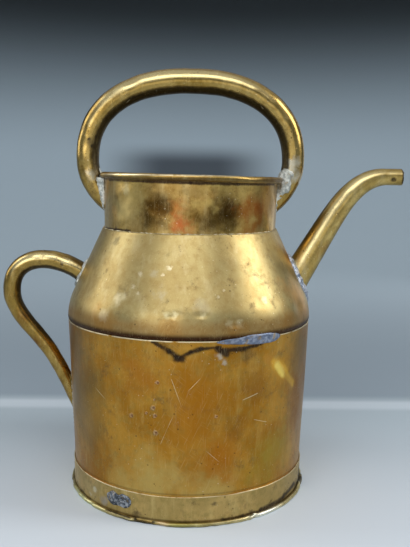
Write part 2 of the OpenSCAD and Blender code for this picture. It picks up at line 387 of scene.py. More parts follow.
def solder(name, points, size, seed, grain=0.6, smooth=14):
    """Run lumps of solder over these points, melt them into one and roughen the skin."""
    dice = random.Random(seed)
    lumps = []
    bpy.ops.object.select_all(action="DESELECT")
    for p in points:
        lump_r = size * dice.uniform(0.8, 1.15)
        jitter = Vector([dice.uniform(-0.2, 0.2) * size for _ in range(3)])
        bpy.ops.mesh.primitive_ico_sphere_add(subdivisions=2, radius=lump_r, location=p + jitter)
        lumps.append(bpy.context.object)
    for lump in lumps:
        lump.select_set(True)
    bpy.context.view_layer.objects.active = lumps[0]
    bpy.ops.object.join()
    piece = bpy.context.object
    bpy.ops.object.transform_apply(location=True, rotation=True, scale=True)
    piece.name = name
    modify(piece, "REMESH", mode="VOXEL", voxel_size=grain * MM)
    modify(piece, "SMOOTH", factor=0.8, iterations=smooth)
    beat(piece, lambda p: uneven(p, 2.6, 0.25) + uneven(p, 1.1, 0.08))
    only(piece)
    bpy.ops.object.shade_smooth()
    return piece


def slab(name, direction, height, half_turn, half_h, radius_at, depth, seed, lobes=0.0, skew=0.0):
    """A repair patch: a grid bent on to the wall, trimmed to a lumpy outline and given thickness."""
    bpy.ops.object.select_all(action="DESELECT")
    bpy.ops.mesh.primitive_grid_add(x_subdivisions=44, y_subdivisions=20, size=2)
    piece = bpy.context.object
    piece.name = name
    shift = Vector((seed * 3.1, seed * 7.7, 0))
    for v in piece.data.vertices:
        u, w = v.co.x, v.co.y
        ragged = 1 + 0.22 * noise.noise(Vector((u * 2.4, w * 1.5, 0)) + shift)
        waist = 1 - lobes * math.exp(-(u / 0.28) ** 2)
        reach = math.sqrt(max(0.0, 1 - abs(u) ** 2.4)) * ragged * waist * (1 + skew * math.sin(u * 2.2))
        wander = 1 + 0.06 * noise.noise(Vector((w * 3, 5, 0)) + shift)
        turn = math.radians(direction + half_turn * u * wander)
        z = (height + half_h * w * max(0.16, reach)) * MM
        crown = max(0.0, 1 - abs(u) ** 3) * max(0.0, 1 - abs(w) ** 3)
        lumps = 1 + 0.35 * noise.noise(Vector((u * 5, w * 3, 1)) + shift)
        r = radius_at(z) + 0.05 * MM + depth * MM * crown * lumps
        v.co = (r * math.sin(turn), -r * math.cos(turn), z)
    outwards(piece)
    modify(piece, "SOLIDIFY", thickness=0.5 * MM, offset=-1)
    modify(piece, "SMOOTH", factor=0.5, iterations=2)
    only(piece)
    bpy.ops.object.shade_smooth()
    return piece


# ---------------------------------------------------------------- finishes

def tone(code):
    """Colour from its six-digit code, made linear."""
    parts = [int(code[i:i + 2], 16) / 255 for i in (0, 2, 4)]
    return [c / 12.92 if c < 0.04045 else ((c + 0.055) / 1.055) ** 2.4 for c in parts] + [1.0]


class Finish:
    """A material being put together, with short words for its nodes.

    The body's finish is near the renderer's limit for one material. Further marks, or the same nodes made
    in another order, can pass it, and the piece then renders black.
    """

    def __init__(self, name):
        self.material = bpy.data.materials.new(name)
        self.material.use_nodes = True
        self.tree = self.material.node_tree
        self.tree.nodes.clear()
        self.place = self.node("ShaderNodeTexCoord").outputs["Object"]
        self.height = self.axis(2)

    def node(self, kind, **settings):
        made = self.tree.nodes.new(kind)
        for key, value in settings.items():
            setattr(made, key, value)
        return made

    def feed(self, socket, value):
        if isinstance(value, bpy.types.NodeSocket):
            self.tree.links.new(value, socket)
        else:
            socket.default_value = value

    def axis(self, index):
        """One coordinate of the place, in metres."""
        split = self.node("ShaderNodeSeparateXYZ")
        self.feed(split.inputs[0], self.place)
        return split.outputs[index]

    def calc(self, kind, a, b=0.0, c=0.0):
        """One sum on numbers or maps."""
        made = self.node("ShaderNodeMath", operation=kind)
        for socket, value in zip(made.inputs, (a, b, c)):
            self.feed(socket, value)
        return made.outputs[0]

    def times(self, a, b):
        return self.calc("MULTIPLY", a, b)

    def most(self, a, b):
        """The greater of the two."""
        return self.calc("MAXIMUM", a, b)

    def vector(self, kind, *given):
        """One sum on places: its outputs are a place and, under "Value", a number."""
        made = self.node("ShaderNodeVectorMath", operation=kind)
        for socket, value in zip(made.inputs, given):
            self.feed(socket, value)
        return made.outputs

    def fade(self, value, low, high):
        """0 below low, 1 above high, smooth between."""
        made = self.node("ShaderNodeMapRange", interpolation_type="SMOOTHSTEP")
        for socket, given in zip(made.inputs, (value, low, high)):
            self.feed(socket, given)
        return made.outputs[0]

    def near(self, value, low, high):
        """1 below low, 0 above high, smooth between."""
        return self.calc("SUBTRACT", 1.0, self.fade(value, low, high))

    def within(self, value, centre, half):
        """1 near the centre of a range, fading to 0 at half to each side."""
        away = self.calc("ABSOLUTE", self.calc("SUBTRACT", value, centre))
        return self.near(away, half * 0.25, half)

    def blend(self, factor, a, b):
        """Colour a where the factor is 0, b where it is 1."""
        made = self.node("ShaderNodeMix", data_type="RGBA", blend_type="MIX")
        self.feed(made.inputs["Factor"], factor)
        self.feed(made.inputs[6], a)
        self.feed(made.inputs[7], b)
        return made.outputs[2]

    def moved(self, by, **settings):
        """The mapping node that moves a texture's place."""
        fit = self.node("ShaderNodeMapping", **settings)
        self.feed(fit.inputs["Vector"], self.place)
        fit.inputs["Location"].default_value = by
        return fit

    def grain(self, fit, size, detail, rough, twist=0.0):
        """Noise on a mapping, with features about size millimetres across: its value and its colour."""
        made = self.node("ShaderNodeTexNoise")
        self.feed(made.inputs["Vector"], fit.outputs[0])
        made.inputs["Scale"].default_value = 1 / (size * MM)
        made.inputs["Detail"].default_value = detail
        made.inputs["Roughness"].default_value = rough
        made.inputs["Distortion"].default_value = twist
        return made.outputs

    def cloud(self, size, detail=4.0, rough=0.55, long=(1, 1, 1), lean=(0, 0, 0), shift=0.0, twist=0.0):
        """Noise from 0 to 1, longer along an axis and leaning."""
        fit = self.moved((shift, shift * 0.7, shift * 1.3), vector_type="TEXTURE")
        fit.inputs["Scale"].default_value = long
        fit.inputs["Rotation"].default_value = [math.radians(a) for a in lean]
        return self.grain(fit, size, detail, rough, twist)[0]

    def specks(self, size, share, shift=0.0):
        """Separate round specks, 1 on a speck: share is how much of each cell it fills."""
        fit = self.moved((shift, shift, shift))
        made = self.node("ShaderNodeTexVoronoi")
        self.feed(made.inputs["Vector"], fit.outputs[0])
        made.inputs["Scale"].default_value = 1 / (size * MM)
        return self.near(made.outputs["Distance"], share * 0.6, share)

    def stirred(self, amount, size, shift=0.0):
        """The place, pushed about by noise: amount and size in mm."""
        colour = self.grain(self.moved((shift, shift, shift)), size, 6.0, 0.65)["Color"]
        push = self.vector("MULTIPLY_ADD", colour, [2 * amount * MM] * 3, [-amount * MM] * 3)[0]
        return self.vector("ADD", self.place, push)[0]

    def spot(self, centre, radius, hard=0.3, ragged=1.1):
        """Round mark round a centre, radius in mm: a stain, a blister or a painted highlight. The nearer hard
        is to 1, the sharper its edge.
        """
        away = self.node("ShaderNodeVectorMath", operation="DISTANCE")
        self.feed(away.inputs[0], self.stirred(radius * ragged, radius * 0.9, centre.x))
        away.inputs[1].default_value = centre
        return self.near(away.outputs["Value"], hard * radius * MM, radius * MM)

    def stroke(self, a, b, width, wander=0.0):
        """Line from place a to place b, width in mm, with a ragged edge if it wanders."""
        offset = self.node("ShaderNodeVectorMath", operation="SUBTRACT")
        self.feed(offset.inputs[0], self.stirred(wander, 4.0, a.x) if wander else self.place)
        offset.inputs[1].default_value = a
        along = (b - a) / (b - a).length_squared
        share = self.vector("DOT_PRODUCT", offset.outputs[0], along)["Value"]
        part = self.node("ShaderNodeClamp")
        self.feed(part.inputs[0], share)
        foot = self.node("ShaderNodeVectorMath", operation="SCALE")
        foot.inputs[0].default_value = b - a
        self.feed(foot.inputs["Scale"], part.outputs[0])
        away = self.vector("DISTANCE", offset.outputs[0], foot.outputs[0])["Value"]
        return self.near(away, width * 0.3 * MM, width * MM)

    def metal(self, colour, metallic, rough, heights):
        """Close the material: heights is a list of (height map, depth in mm)."""
        shader = self.node("ShaderNodeBsdfPrincipled")
        self.feed(shader.inputs["Base Color"], colour)
        self.feed(shader.inputs["Metallic"], metallic)
        self.feed(shader.inputs["Roughness"], rough)
        normal = None
        for height, depth in heights:
            bump = self.node("ShaderNodeBump")
            self.feed(bump.inputs["Height"], height)
            bump.inputs["Distance"].default_value = depth * MM
            if normal:
                self.feed(bump.inputs["Normal"], normal)
            normal = bump.outputs[0]
        if normal:
            self.feed(shader.inputs["Normal"], normal)
        out = self.node("ShaderNodeOutputMaterial")
        self.feed(out.inputs["Surface"], shader.outputs[0])
        return self.material


def tarnished(f, tones, shift):
    """Four tones of brass in clouds and streaks, with tarnish over them; also how much dirt that makes."""
    wide = f.cloud(42, 4.0, 0.6, shift=shift, twist=0.5)
    fine = f.cloud(6, 6.0, 0.68, shift=shift + 1)
    streak = f.cloud(8, 4.0, 0.6, long=(1, 1, 5), shift=shift + 2)
    colour = f.blend(f.fade(wide, 0.36, 0.62), tone(tones[0]), tone(tones[1]))
    colour = f.blend(f.times(f.fade(fine, 0.42, 0.7), 0.65), colour, tone(tones[2]))
    colour = f.blend(f.times(f.fade(streak, 0.5, 0.72), 0.45), colour, tone(tones[3]))
    tarnish = f.fade(f.cloud(12, 8.0, 0.75, shift=shift + 3), 0.53, 0.70)
    colour = f.blend(f.times(tarnish, 0.5), colour, tone("4f3a1a"))
    return colour, f.times(tarnish, 0.4)


def stained(f, colour, dirt, stains, bands, creases, shift):
    """Stains at their places, bands and lines: mostly stains and dirt, but some stains and lines are painted
    highlights, and some bands and lines painted shade.
    """
    for code, strength, hard, *where, radius in stains:
        mask = f.times(f.spot(spot_at(where), radius, hard), strength)
        colour = f.blend(mask, colour, tone(code))
        if code in DULL:
            dirt = f.most(dirt, f.times(mask, 0.7))
    # Bands: dirt or a tone, and painted shade where a band lies under the bead or the shoulder's turn.
    for z, half, strength, *code in bands:
        heavy = f.fade(f.cloud(14, 6.0, 0.7, long=(2, 2, 1), shift=shift + 4), 0.05, 0.45)
        mask = f.times(f.within(f.height, z * MM, half * MM), f.times(heavy, strength))
        colour = f.blend(mask, colour, tone(*code or ["2c1604"]))
        dirt = f.most(dirt, f.times(mask, 0.25))
    # Lines: dirt, painted shade in creases, gaps and under the bead, or a painted highlight on the knocked-in
    # facet.
    for start, end, width, *code in creases:
        line = 0.0
        for a, b in chain(start, end, 10):
            line = f.most(line, f.stroke(a, b, width, min(width * 0.5, 1.3)))
        mask = f.times(line, 0.92)
        colour = f.blend(mask, colour, tone(*code or ["241405"]))
        dirt = f.most(dirt, f.times(mask, 0.5))
    return colour, dirt


def blistered(f, colour, places):
    """Small pale rings with a brown pit in each; also their height."""
    blister = 0.0
    for turn, z, radius in places:
        rim = f.spot(on_wall(turn, z), radius, 0.5, 0.8)
        pit = f.spot(on_wall(turn + 0.3, z), radius * 0.6, 0.4, 0.6)
        colour = f.blend(f.times(rim, 0.32), colour, tone("d8bfa0"))
        colour = f.blend(f.times(pit, 0.7), colour, tone("6b3f2a"))
        blister = f.most(blister, f.calc("SUBTRACT", rim, pit))
    return colour, blister


def specked(f, colour, shift):
    """Dark pits and pale dust specks; also where the pits are."""
    pits = f.most(f.specks(9, 0.09, shift), f.specks(4.1, 0.09, shift + 5))
    gather = f.fade(f.cloud(24, 3.0, 0.6, shift=shift + 9), 0.45, 0.62)
    dust = f.times(f.specks(4.3, 0.1, shift + 9), gather)
    colour = f.blend(f.times(pits, 0.5), colour, tone("3a2812"))
    return f.blend(f.times(dust, 0.55), colour, tone("efe6c8")), pits


def scratched(f, colour, marks, shift):
    """Fine wear in three directions and single scratches; also where the lines are."""
    hair = f.fade(f.cloud(0.7, 1.0, 0.5, long=(1, 1, 40), lean=(0, 24, 0), shift=shift + 6), 0.60, 0.80)
    cross = f.fade(f.cloud(0.6, 1.0, 0.5, long=(1, 1, 30), lean=(0, -52, 0), shift=shift + 7), 0.62, 0.82)
    up = f.fade(f.cloud(0.6, 1.0, 0.5, long=(1, 1, 60), shift=shift + 8), 0.60, 0.80)
    rubbed = f.most(f.most(hair, cross), up)
    colour = f.blend(f.times(rubbed, 0.14), colour, tone("e8cf90"))
    lines = f.times(rubbed, 0.05)
    for start, end, width in marks:
        lines = f.most(lines, f.stroke(spot_at(start), spot_at(end), width))
    return f.blend(f.times(lines, 0.55), colour, tone("f2e3b4")), lines


def brass(name, tones, shift, stains=(), marks=(), creases=(), blisters=(), bands=(), edges=(),
          rough=(0.3, 0.44), wavy=0.3, shade=None, painted_highlight=None):
    """Old sheet brass. Places are given as spot_at() takes them.

    stains are (tone, strength, hardness, *place, radius), a few of them painted highlights; marks are
    scratches (start, end, width); creases are lines (start, end, width, tone): dirt, painted shade in
    creases, gaps and under the bead, or a painted highlight where a pale tone is given; blisters are
    (direction, height, radius).
    bands are heights (z, half height, strength, tone): dirt, a tone, or painted shade under the bead and the
    shoulder's turn; edges are heights (z, half height) of a sheet edge painted bright, bare from wear and
    with a painted highlight. The last two arguments add masks of their own: painted shade, dark, and a
    painted highlight, pale, where they are 1.
    """
    f = Finish(name)
    colour, dirt = tarnished(f, tones, shift)
    colour, dirt = stained(f, colour, dirt, stains, bands, creases, shift)
    colour, blister = blistered(f, colour, blisters)
    # Painted highlight: a pale tone where the mask is 1, laid where the tube's highlight falls.
    if painted_highlight:
        colour = f.blend(f.times(painted_highlight(f), 0.8), colour, tone("dccb96"))
    # Painted shade: where the mask is 1 the tone is darkened and the metal dulled.
    if shade:
        mask = shade(f)
        colour = f.blend(mask, colour, tone("2a2008"))
        dirt = f.most(dirt, f.times(mask, 0.6))
    colour, pits = specked(f, colour, shift)
    colour, lines = scratched(f, colour, marks, shift)
    # Sheet edges painted bright: bare brass from wear, with a painted highlight, broken in patches.
    for z, half in edges:
        kept = f.fade(f.cloud(7, 4.0, 0.6, shift=shift + 8), 0.28, 0.5)
        mask = f.times(f.within(f.height, z * MM, half * MM), kept)
        colour = f.blend(f.times(mask, 0.85), colour, tone("f6e8c0"))
    shine = f.calc("MULTIPLY_ADD", f.cloud(9, 5.0, 0.65, shift=shift + 10), rough[1] - rough[0], rough[0])
    shine = f.calc("MULTIPLY_ADD", dirt, 0.25, shine)
    metallic = f.calc("MULTIPLY_ADD", dirt, -0.6, 1.0)
    dips = f.calc("SUBTRACT", 1.0, f.most(pits, f.times(lines, 0.3)))
    heights = [
        (f.cloud(16, 2.0, 0.4, shift=shift + 11), wavy),
        (f.cloud(4.5, 3.0, 0.5, shift=shift + 12), wavy * 0.2),
        (dips, 0.2),
        (f.cloud(0.8, 3.0, 0.6, shift=shift + 13), 0.012),
    ]
    if blisters:
        heights.append((blister, 0.35))
    return f.metal(colour, metallic, shine, heights)


# Tones that come back in many stains
SOOT = "241a0e"
DIRT = "3a2c18"
LIME = "c9c8b8"
BARE_LEAD = "8f9298"
CREAM = "e8dcb8"
# The ones that are less metallic than brass
DULL = (SOOT, DIRT, LIME, BARE_LEAD)


def lead(name, shade_a, shade_b, shift, dirt=0.5, pitted=0.25):
    """Old soft solder: dull grey metal with white bloom, patches of dirt and a pitted skin."""
    f = Finish(name)
    bloom = f.fade(f.cloud(3.2, 6.0, 0.7, shift=shift), 0.42, 0.62)
    colour = f.blend(bloom, tone(shade_a), tone(shade_b))
    grime = f.fade(f.cloud(2.2, 6.0, 0.75, shift=shift + 2), 0.56, 0.70)
    colour = f.blend(f.times(grime, dirt), colour, tone("3a2f20"))
    brassy = f.fade(f.cloud(5, 5.0, 0.65, shift=shift + 3), 0.56, 0.68)
    colour = f.blend(f.times(brassy, 0.6), colour, tone("a5843c"))
    metallic = f.calc("MULTIPLY_ADD", f.most(bloom, grime), -0.65, 0.9)
    rough = f.calc("MULTIPLY_ADD", bloom, 0.25, 0.38)
    return f.metal(colour, metallic, rough, [
        (f.cloud(2.4, 4.0, 0.55, shift=shift + 4), pitted), (f.specks(1.9, 0.2, shift), -0.08)])


def rusty_iron():
    f = Finish("iron_wire")
    bloom = f.fade(f.cloud(1.5, 5.0, 0.7), 0.4, 0.6)
    colour = f.blend(bloom, tone("3b332b"), tone("6b4526"))
    return f.metal(colour, 0.6, f.calc("MULTIPLY_ADD", bloom, 0.3, 0.5), [(f.cloud(0.6, 4.0, 0.6), 0.08)])


# ---------------------------------------------------------------- body, foot and base

# Dents in the can's wall: direction, height, width, tallness, tilt and depth
DENTS = [
    (-38, 112, 12, 20, 0, 0.4), (4, 137, 26, 6, 0, 0.5), (2, 84, 22, 30, 25, 0.5),
    (24, 56, 20, 26, -15, 0.4), (-24, 62, 24, 24, 10, 0.5), (-58, 60, 22, 34, 0, 0.6),
    (68, 48, 26, 22, 0, 0.5), (12, 30, 30, 12, 0, 0.3), (58, 78, 14, 26, 10, 0.5),
    (115, 70, 26, 30, 20, 0.9), (150, 105, 18, 14, -20, 1.3), (172, 60, 30, 26, 0, 0.9),
    (205, 96, 22, 16, 35, 1.2), (238, 60, 24, 30, -10, 0.8), (262, 112, 16, 10, 0, 0.9),
    (-75, 100, 14, 24, 5, 0.5), (-6.5, 157.5, 9, 3.5, 0, 0.8), (5, 158, 7, 3, 0, 0.6),
    (20, 151, 9, 4, 6, 0.9), (33, 165, 6, 5, 0, 0.5), (-30, 152, 12, 5, 0, 0.5), (60, 156, 12, 8, 0, 0.8),
    (-42, 168, 14, 16, 0, 0.4), (18, 185, 20, 12, 30, 0.3), (95, 190, 16, 12, 0, 0.6),
    (130, 160, 18, 9, 0, 1.0), (165, 176, 22, 16, 15, 1.1), (212, 154, 16, 7, 0, 1.0),
    (240, 182, 18, 14, -20, 0.8), (300, 172, 18, 14, 0, 0.4),
]
wall_dents = dents(DENTS, 100 * MM)

# Creases, hollow on the left of the line: start, end, depth, width of the steep edge, reach of the hollow
CREASES = [
    ((-5, 127), (-12, 138), 1.1, 2.4, 7), ((1, 131), (-5, 127), 1.4, 2.2, 8),
    ((12, 135), (1, 131), 1.0, 2.2, 7), ((24, 133), (12, 135), 0.8, 2.4, 7),
    ((34, 138), (24, 133), 0.7, 2.4, 7), ((43, 119), (49, 108), 1.3, 3.2, 5),
    ((49, 108), (56, 98), 0.9, 2.6, 5), ((38, 120), (43, 114), 0.8, 2.6, 5),
    ((-168, 110), (-150, 92), 1.3, 4.0, 12), ((140, 120), (152, 104), 1.2, 3.0, 10),
]


def crease_push(p):
    """Hollows with one sharp edge, where the wall was knocked in."""
    here = turn_of(p)
    deepest = 0.0
    for start, end, depth, edge, reach in CREASES:
        scale = math.radians(1) * 100
        around = (here - start[0] + 180) % 360 - 180
        u, v = around * scale, p.z / MM - start[1]
        line = ((end[0] - start[0] + 180) % 360 - 180) * scale, end[1] - start[1]
        length = math.hypot(*line)
        t = (u * line[0] + v * line[1]) / length
        d = (v * line[0] - u * line[1]) / length
        past = max(0.0, -t, t - length)
        if past > 12 or d < -edge or d > 5 * reach:
            continue
        hollow = math.exp(-d / reach) if d > 0 else 1 + d / edge
        deepest = max(deepest, depth * hollow * math.exp(-(past / 5) ** 2))
    return -deepest * MM


def wall_push(p):
    """Dents and soft unevenness that body, foot and shoulder share, so their laps stay closed."""
    return wall_dents(p) + crease_push(p) - abs(uneven(p, 70, 0.6)) - abs(uneven(p, 25, 0.14))


def body_piece(finish):
    r_low, r_high = body_r(1 * MM) - SHEET / 2, body_top_r - SHEET / 2
    bend = (body_r(90 * MM) - SHEET / 2, 90 * MM)
    outline = straight((r_low, 1 * MM), bend, 42) + straight(bend, (r_high, body_h), 50) + [(r_high, body_h)]
    piece = lathe("body_wall", outline, 320)
    beat(piece, wall_push)
    sheet_metal(piece)
    keep(piece, "body_wall", finish)


def foot_piece(finish):
    """Band with a small flange at its bottom and a slightly wavy top edge."""
    out = FILM + SHEET / 2
    low, high = FOLD_Z, foot_h
    flange = body_bottom_r + LIP - FOLD_Z
    top = (body_r(high) + out, high)
    outline = [(flange, low), (body_r(low) + out + 0.6 * MM, low), (body_r(low) + out, low + 0.6 * MM)]
    outline += straight((body_r(3 * MM) + out, 3 * MM), top, 15) + [top]
    piece = lathe("foot_band", outline, 256)
    beat(piece, wall_push)
    for v in piece.data.vertices:
        near_top = max(0.0, 1 - (foot_h - v.co.z) / (6 * MM))
        v.co.z += near_top * (uneven(v.co, 26, 0.7) - 0.35 * MM)
    sheet_metal(piece, even=False)
    keep(piece, "foot_band", finish)


def base_piece(finish):
    """Bottom whose rim is folded up over the band's flange, beaten flat and broken out in one place."""
    r = (2 * FOLD_Z - SHEET) / 2
    bend = (body_bottom_r + LIP - FOLD_Z, FOLD_Z)
    outline = straight((0.5 * MM, SHEET / 2), (bend[0], bend[1] - r), 26) + arc(bend, r, -90, 90, 8)
    outline += [(body_bottom_r + 1.5 * MM, bend[1] + r)]
    piece = lathe("base_disc", outline, 288)
    edit(piece, "DESELECT")
    bpy.ops.mesh.select_non_manifold()
    mesh = bmesh_of(piece)
    for edge in mesh.edges:
        if edge.select and edge.verts[0].co.xy.length > 2 * MM:
            edge.select_set(False)
    bmesh.update_edit_mesh(piece.data)
    bpy.ops.mesh.edge_face_add()
    done()
    for v in piece.data.vertices:
        out = v.co.xy.length
        if out < body_bottom_r:
            continue
        turn = turn_of(v.co)
        beaten = uneven(v.co, 9, 1.1) + uneven(v.co, 3.5, 0.6)
        knocked = -17 < turn < -9 or 30 < turn < 33
        squash = min(0.0, beaten) - 0.15 * MM - (0.9 * MM if knocked else 0.0)
        v.co.xy *= 1 + squash * min(1.0, (out - body_bottom_r) / (2 * MM)) / out
        if v.co.z > bend[1]:
            v.co.z += 0.35 * min(0.0, beaten) + 0.1 * MM
            lifted = math.exp(-((turn - 73) / 4.0) ** 2)
            v.co.z += 1.6 * MM * lifted
        broken_out = abs(turn + 19) < 3.6
        if broken_out and out > body_bottom_r + 1 * MM:
            v.co.z = min(v.co.z, 0.6 * MM)
            v.co.xy *= (body_bottom_r + 1.2 * MM + 0.2 * (out - body_bottom_r)) / out
    sheet_metal(piece)
    for v in piece.data.vertices:
        v.co.z = max(v.co.z, 0.0)
    keep(piece, "base_disc", finish)


# ---------------------------------------------------------------- shoulder and neck

def shoulder_piece(finish):
    """Raised cone with a rounded turn at its bottom and a skirt tucked inside the body."""
    half = SHEET / 2
    turn = (shoulder_r - TURN_R, body_h + TURN_RISE)
    top = (neck_r + FILM + SHEET * 0.65, seat_z)
    cone = math.degrees(math.atan2(top[1] - turn[1], top[0] - turn[0]))
    reach = math.hypot(top[0] - turn[0], top[1] - turn[1])
    start = cone - math.degrees(math.acos((TURN_R - half) / reach))
    skirt = body_top_r - SHEET - FILM - half
    outline = straight((skirt - 0.3 * MM, body_h - 8 * MM), (skirt, body_h), 5) + [(skirt, body_h)]
    outline += arc(turn, TURN_R - half, 0, start, 16)
    outline += straight(outline[-1], top, 34)[1:] + [top]
    piece = lathe("shoulder", outline, 256)
    beat(piece, wall_push)
    sheet_metal(piece)
    keep(piece, "shoulder", finish)


# Dents in the neck, as for the wall
NECK_DENTS = [
    (-18, 233, 14, 11, 0, 0.8), (22, 228, 12, 12, 20, 0.8), (4, 240, 16, 8, 0, 0.5),
    (60, 236, 12, 12, 0, 0.6), (-60, 230, 14, 14, 0, 0.6), (120, 236, 14, 12, 0, 0.9),
    (170, 228, 18, 12, 15, 0.8), (225, 238, 14, 12, 0, 0.9),
]
neck_dents = dents(NECK_DENTS, 71 * MM)


def neck_piece(finish):
    """Collar whose top edge is curled over a wire; it leans a little towards the spout."""
    r = neck_r - SHEET / 2
    ring_r = neck_r - SHEET + BEAD_R
    outline = straight((r, seat_z - 6 * MM), (r, rim_z), 30)
    outline += arc((ring_r, rim_z), BEAD_R - SHEET / 2, 180, -118, 18)
    piece = lathe("neck_collar", outline, 240)

    def push(p):
        calm = 1.0 if p.z < rim_z - 4 * MM else 0.35
        return calm * (neck_dents(p) - abs(uneven(p, 24, 0.7)) - abs(uneven(p, 9, 0.25)))
    beat(piece, push)
    for v in piece.data.vertices:
        if v.co.z > rim_z - 3 * MM:
            v.co.z -= abs(uneven(v.co, 30, 0.5)) + abs(uneven(v.co, 8, 0.35))
    edit(piece)
    bpy.ops.transform.rotate(value=-neck_lean, orient_axis="Y", center_override=(0, 0, seat_z))
    done()
    sheet_metal(piece)
    keep(piece, "neck_collar", finish)


# ---------------------------------------------------------------- handles and spout

def tube_dents(route, places, ripple=1.0):
    """Push for beat(): hollows and soft ripples on a tube, at (share of the length, side, length, depth)."""
    spots = []
    for share, side, length, depth in places:
        at = route[round(share * (len(route) - 1))]
        spots.append((at + Vector(side) * 9 * MM, length * MM, depth * MM))

    def push(p):
        total = -ripple * (abs(uneven(p, 16, 0.45)) + abs(uneven(p, 6, 0.2)))
        for at, length, depth in spots:
            total -= depth * max(0.0, 1 - ((p - at).length / length) ** 2) ** 2
        return total
    return push


def arch_piece(finish, form):
    route, radii = arch_route()
    piece = tube("top_handle", route, [r - SHEET / 2 for r in radii])
    beat(piece, tube_dents(route, [
        (0.62, (0, -0.6, 0.6), 9, 1.0), (0.50, (0, -0.8, 0.3), 12, 0.5), (0.30, (0.4, -0.8, 0), 10, 0.6),
        (0.86, (-0.3, -0.9, 0), 8, 0.8), (0.80, (-0.3, -0.9, 0), 6, 0.6), (0.42, (0, 0.8, 0.4), 12, 0.8),
        (0.70, (0, 0.8, 0.4), 10, 0.7), (0.15, (0.5, 0.8, 0), 10, 0.6),
    ]))
    sheet_metal(piece)
    mitre(piece, form)
    keep(piece, "top_handle", finish)


def grip_piece(finish, form):
    route, radii = grip_route()
    piece = tube("rear_handle", route, [r - SHEET / 2 for r in radii])
    beat(piece, tube_dents(route, [
        (0.10, (0, -0.7, 0.6), 8, 0.7), (0.18, (0, -0.8, 0.5), 6, 0.6), (0.45, (-0.6, -0.6, 0), 10, 0.6),
        (0.60, (-0.5, 0.8, 0), 10, 0.7), (0.30, (-0.3, 0.8, 0.4), 10, 0.7),
    ]))
    sheet_metal(piece)
    mitre(piece, form)
    keep(piece, "rear_handle", finish)


def spout_piece(finish, form):
    """Tapered tube with a level end, a pin mark in its side and a lip that isn't quite even."""
    route, radii = spout_route()
    piece = tube("spout", route, [r - SHEET / 2 for r in radii], 14)
    mouth = route[-1]
    pin = Vector((mouth.x - 8.6 * MM, -radii[-1], mouth.z - 2 * MM))
    beat(piece, tube_dents(route, [
        (0.45, (-0.5, -0.7, 0.4), 9, 0.3), (0.62, (0, -0.8, 0.5), 8, 0.3), (0.3, (0.5, 0.8, 0), 9, 0.6),
    ], 0.4))
    for v in piece.data.vertices:
        if (v.co - pin).length < 2.2 * MM:
            v.co.y += 1.6 * MM * (1 - (v.co - pin).length / (2.2 * MM))
        if v.co.x > mouth.x - 2 * MM:
            v.co.x -= abs(uneven(v.co, 5, 0.9)) + 0.05 * MM
    sheet_metal(piece)
    mitre(piece, form)
    keep(piece, "spout", finish)


# ---------------------------------------------------------------- solder

def smear(route, radii, first, last, start, end):
    """Points of a round smear on a tube, between two places of its route and two directions round it."""
    points = []
    for n in range(3 * (last - first)):
        i = first + n // 3
        centre = route[i].lerp(route[i + 1], n % 3 / 3)
        along = (route[i + 1] - route[i - 1]).normalized()
        side = Vector((-along.z, 0, along.x))
        for k in range(start, end, 8):
            a = math.radians(k)
            out = side * math.cos(a) + Vector((0, 1, 0)) * math.sin(a)
            edge = (n / 1.5 / (last - first) - 1) ** 2 + (2 * (k - start) / (end - start) - 1) ** 2
            edge += 0.9 * noise.noise(centre * 260 + out * 4)
            p = centre + out * (radii[i] - (0.7 + 0.5 * max(0.0, edge)) * MM)
            if edge < 1 and math.hypot(p.x, p.y) > can_r(p.z) - 1 * MM:
                points.append(p)
    return points


def fillet(side, top, bottom, width):
    """Points of a wedge of solder in front of an arch leg, widest at the rim: heights and width in mm."""
    points = []
    for z in range(bottom, top):
        reach = width * (z - bottom) / (top - bottom)
        for k in range(3):
            out = reach * k / 2
            points.append(Vector((side * (neck_r / MM + out - 0.5), 0.4 * out - 9.6, z)) * MM)
    return points


def skirt(points, spread, sink):
    """Spread joint points out over the can's outside, away from their middle, and sink them in mm."""
    centre = sum(points, Vector()) / len(points)
    moved = []
    for p in points:
        q = centre + (p - centre) * spread
        r = (can_r(q.z) - sink * MM) / q.xy.length
        moved.append(Vector((q.x * r, q.y * r, q.z)))
    return moved


def solder_pieces(white, grey, seam_lead):
    arch, arch_r = arch_route()
    grip, grip_r = grip_route()
    spout, spout_r = spout_route()
    half = len(arch) // 2

    right = joint_line(arch[:half], arch_r[:half], 72) + smear(arch, arch_r, 5, 17, 250, 400)
    left = joint_line(arch[half:], arch_r[half:], 72, from_end=True) + smear(arch, arch_r, 104, 116, 322, 400)
    left += fillet(-1, 254, 230, 6)
    upper = joint_line(grip[:60], grip_r[:60], 40)
    upper += skirt(upper, 1.2, 0.8) + skirt(upper, 1.4, 1.5)
    lower = joint_line(grip[80:], grip_r[80:], 40, from_end=True)
    lower += skirt(lower, 1.15, 0.8)
    lower += [on_wall(turn, z) * 0.994 for z in range(46, 94) for turn in (-88, -85.5)]
    collar = joint_line(spout[:60], spout_r[:60], 72)
    collar += skirt(collar, 1.12, 0.2) + skirt(collar, 1.28, 0.7) + skirt(collar, 1.45, 1.4)
    first = Vector((neck_r + 0.5 * MM, 0, seat_z + 0.4 * MM))
    seam = [Matrix.Rotation(math.radians(a), 3, "Z") @ first for a in range(360)]

    for node, points, size, smooth, finish in (
        ("top_handle_solder_right", right, 1.6 * MM, 22, white),
        ("top_handle_solder_left", left, 1.5 * MM, 22, white),
        ("rear_handle_solder_upper", upper, 2.0 * MM, 22, white),
        ("rear_handle_solder_lower", lower, 1.4 * MM, 14, white),
        ("spout_solder", collar, 2.6 * MM, 36, grey),
        ("neck_solder", seam, 0.75 * MM, 5, seam_lead),
    ):
        keep(solder(node, points, size, len(node), smooth=smooth), node, finish)


